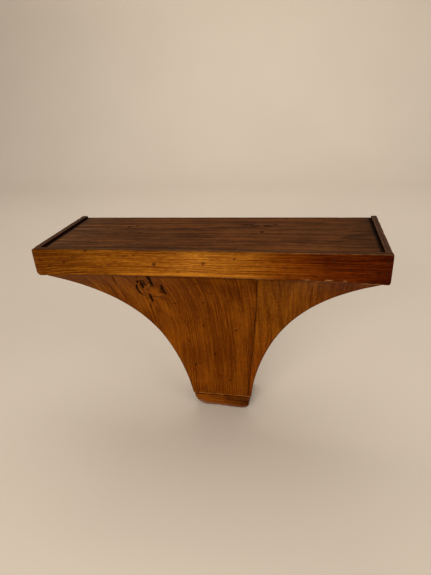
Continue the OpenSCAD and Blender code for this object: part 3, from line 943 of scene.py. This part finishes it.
def make_foot():
    material = wood(
        "foot_mottled_wood", (0.155, 0.039, 0.0025), (0.02, 0.0042, 0.0007), (0.17, 0.09, 0.06),
        ring=6.0, pith=(60.0, 20.0), drift=12.0, figure=0.4, streaks=0.5, blotches=1.3,
        flecks=0.8, gloss=0.45, seed=45.0,
    )
    low = np.array([FOOT_LOW[0], cove(0.0, FOOT_STEP)[0], FOOT_LOW[2]])
    high = FOOT_HIGH.copy()
    rebate_z = PANEL_LOW[2]

    def shape_foot(points):
        """Rounds the lower corners and cuts the rebate that the panel stands in."""
        flat = points[:, [0, 2]]
        worn = 1 - smooth(low[1], low[1] + FOOT_WORN_DEPTH, points[:, 1])
        left_r = (FOOT_LEFT_R + FOOT_WORN_R * worn)[:, None]
        for x, side, corner_r in ((low[0], 1, left_r), (high[0], -1, FOOT_RIGHT_R)):
            corner = (np.array([x, low[2]]), np.array([side, 1]))
            flat = round_corner(flat, corner, corner_r)
        to_left = (high[0] - flat[:, 0]) / (high[0] - low[0])
        below_panel = np.clip((rebate_z - flat[:, 1]) / (rebate_z - low[2]), 0, 1)
        flat[:, 1] += FOOT_WORN_RISE * worn * to_left * below_panel
        behind = cove(np.clip(flat[:, 1] - rebate_z, 0, None), PANEL_T + 0.1)[0]
        y = np.where(points[:, 2] > rebate_z - 0.1, np.maximum(points[:, 1], behind), points[:, 1])
        return np.c_[flat[:, 0], y, flat[:, 1]]

    def paint_foot(points, fields):
        x, y, z = points.T
        front = y < low[1] + 1.5
        inside = np.maximum(smooth(-3, -1, y), smooth(high[2] - 3, high[2] - 1, z))
        fields["raw"] = np.clip(inside * (1 + 0.4 * wander(points, 14, 79)), 0, 1)
        # Painted shadow on the foot's front under the panel's lower edge
        shadow = 1 - smooth(0, 9, PANEL_LOW[2] - z + 3 * wander(points, 9, 77))
        fields["grime"] = np.clip(0.85 * shadow * front, 0, 1)
        # The lower rim: worn, and paler too as a painted highlight on its rounding
        bottom = low[2] + FOOT_WORN_RISE * (high[0] - x) / (high[0] - low[0])
        rim = 1 - smooth(1.5, 5, z - bottom + 1.5 * wander(points, 12, 78))
        fields["edge"] = np.maximum(0.5 * fields["edge"], 0.95 * rim)

    rebate_rows = [(rebate_z - 0.7, rebate_z + 1.5, 0.35)]
    flat_board(
        "foot_piece", low, high, 0, material, ["foot_block"], step=2.5,
        fine=((), (), rebate_rows), radius=2.2, shape=shape_foot, paint=paint_foot, seed=71,
    )


# ---------------------------------------------------------------- hidden frame and metal

def dress_cad(node, material, bevel=0.5):
    """Keeps a CAD node, with a new material and small bevels on its arrises."""
    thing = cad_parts[node]
    thing.data.materials.clear()
    thing.data.materials.append(material)
    weld = thing.modifiers.new("weld", "WELD")
    weld.merge_threshold = 0.01 * MM
    if bevel:
        arris = thing.modifiers.new("arris", "BEVEL")
        arris.width = bevel * MM
        arris.segments = 2
        arris.limit_method = "ANGLE"
        arris.angle_limit = math.radians(40)


def make_frame():
    light, dark, worn = (0.27, 0.155, 0.072), (0.095, 0.047, 0.02), (0.4, 0.27, 0.15)
    rough = dict(ring=4.0, drift=9.0, figure=0.6, streaks=0.5, blotches=0.4, flecks=0.4,
                 gloss=0.75, coat=0.0, relief=0.0003)
    lengthwise = wood("frame_wood_lengthwise", light, dark, worn, axes=(2, 0, 1), seed=51.0, **rough)
    upright = wood("frame_wood_upright", light, dark, worn, axes=(1, 2, 0), seed=57.0, **rough)
    block = wood("frame_wood_blocks", (0.3, 0.18, 0.09), (0.13, 0.07, 0.03), worn,
                 axes=(0, 1, 2), seed=63.0, **rough)
    for node in ("back_rail", "front_batten"):
        dress_cad(node, lengthwise)
    for node in ("left_rib", "right_rib"):
        dress_cad(node, upright)
    for node in ("rib_glue_blocks", "wing_blocks"):
        dress_cad(node, block)


def make_metal():
    plate = metal("plate_old_steel", (0.3, 0.29, 0.28), (0.11, 0.05, 0.025), 0.42)
    screw = metal("screw_old_steel", (0.5, 0.49, 0.47), (0.13, 0.07, 0.035), 0.35)
    nail = metal("nail_stained_iron", (0.09, 0.023, 0.0025), (0.055, 0.013, 0.0015), 0.8, 0.0, 0.2)
    for node in ("left_hanger_plate", "right_hanger_plate"):
        dress_cad(node, plate, 0.2)
    for node in ("hanger_screws", "foot_screws"):
        dress_cad(node, screw, 0)
    for node in ("fascia_nails", "end_nails", "panel_nails", "top_nails"):
        dress_cad(node, nail, 0)


# ---------------------------------------------------------------- studio

def make_floor():
    """A pale seamless sweep under and far behind the shelf."""
    floor_z = CAD_BOX[0].z
    width, front, back, bend, height, steps = 9.0, -5.0, 3.2, 1.2, 4.0, 24
    outline = [(front, 0.0), (back - bend, 0.0)]
    for step in range(1, steps + 1):
        turn = math.pi / 2 * step / steps
        outline.append((back - bend + bend * math.sin(turn), bend - bend * math.cos(turn)))
    outline.append((back, height))
    vertices = [(x, y, floor_z + z) for y, z in outline for x in (-width / 2, width / 2)]
    faces = [(2 * i, 2 * i + 1, 2 * i + 3, 2 * i + 2) for i in range(len(outline) - 1)]
    mesh = bpy.data.meshes.new("floor")
    mesh.from_pydata(vertices, [], faces)
    mesh.polygons.foreach_set("use_smooth", [True] * len(mesh.polygons))
    graph = Graph("floor_pale_paint")
    coords = graph.tree.nodes.new("ShaderNodeTexCoord").outputs["Object"]
    cloud = graph.noise(coords, (0.5, 0.5, 0.5), 3)
    grit = graph.noise(coords, (0.004, 0.004, 0.004), 2)
    colour = graph.mix(cloud, (0.49, 0.425, 0.35), (0.53, 0.46, 0.38))
    graph.surface(Base_Color=colour, Roughness=0.8, Normal=graph.bump(grit, 0.0004, 0.4))
    mesh.materials.append(graph.material)
    floor = bpy.data.objects.new("floor", mesh)
    bpy.context.scene.collection.objects.link(floor)


def area_light(name, place, target, size, power, colour):
    data = bpy.data.lights.new(name, "AREA")
    data.shape = "RECTANGLE"
    data.size, data.size_y = size
    data.energy = power
    data.color = colour
    lamp = bpy.data.objects.new(name, data)
    lamp.location = place
    lamp.rotation_mode = "QUATERNION"
    lamp.rotation_quaternion = (Vector(target) - Vector(place)).to_track_quat("-Z", "Y")
    bpy.context.scene.collection.objects.link(lamp)


def make_light():
    world = bpy.data.worlds.new("studio")
    world.use_nodes = True
    world.node_tree.nodes["Background"].inputs["Color"].default_value = (1.0, 0.95, 0.89, 1)
    world.node_tree.nodes["Background"].inputs["Strength"].default_value = 0.55
    bpy.context.scene.world = world
    middle = (0, -0.1, -0.1)
    area_light("key", (-0.5, -2.6, 0.9), middle, (1.6, 1.2), 60, (1.0, 0.94, 0.86))
    area_light("fill", (2.2, -1.6, 1.2), middle, (1.6, 1.6), 22, (1.0, 0.96, 0.9))
    area_light("backdrop", (-0.4, 1.2, 2.4), (0, 3.2, 0.9), (2.0, 1.0), 38, (1.0, 0.96, 0.9))
    area_light("top", (0, 0.6, 2.6), middle, (2.5, 2.0), 25, (1.0, 0.97, 0.93))


def make_camera():
    """A camera above and to the right of the shelf, looking down at its front."""
    data = bpy.data.cameras.new("camera")
    data.sensor_width = 36
    data.lens = 27.05
    data.clip_start, data.clip_end = 0.01, 50
    camera = bpy.data.objects.new("camera", data)
    right = Vector((0.9789, 0.1949, -0.0611)).normalized()
    forward = Vector((-0.2017, 0.8753, -0.4394))
    forward = (forward - right * forward.dot(right)).normalized()
    up = right.cross(forward)
    turn = Matrix((right, up, -forward)).transposed()
    camera.matrix_world = Matrix.Translation(Vector((171.5, -828.5, 291.1)) * MM) @ turn.to_4x4()
    bpy.context.scene.collection.objects.link(camera)
    bpy.context.scene.camera = camera


make_fascia()
make_top_board()
make_ends()
make_panel()
make_foot()
make_frame()
make_metal()
make_floor()
make_light()
make_camera()
bpy.context.scene.view_settings.view_transform = "Standard"
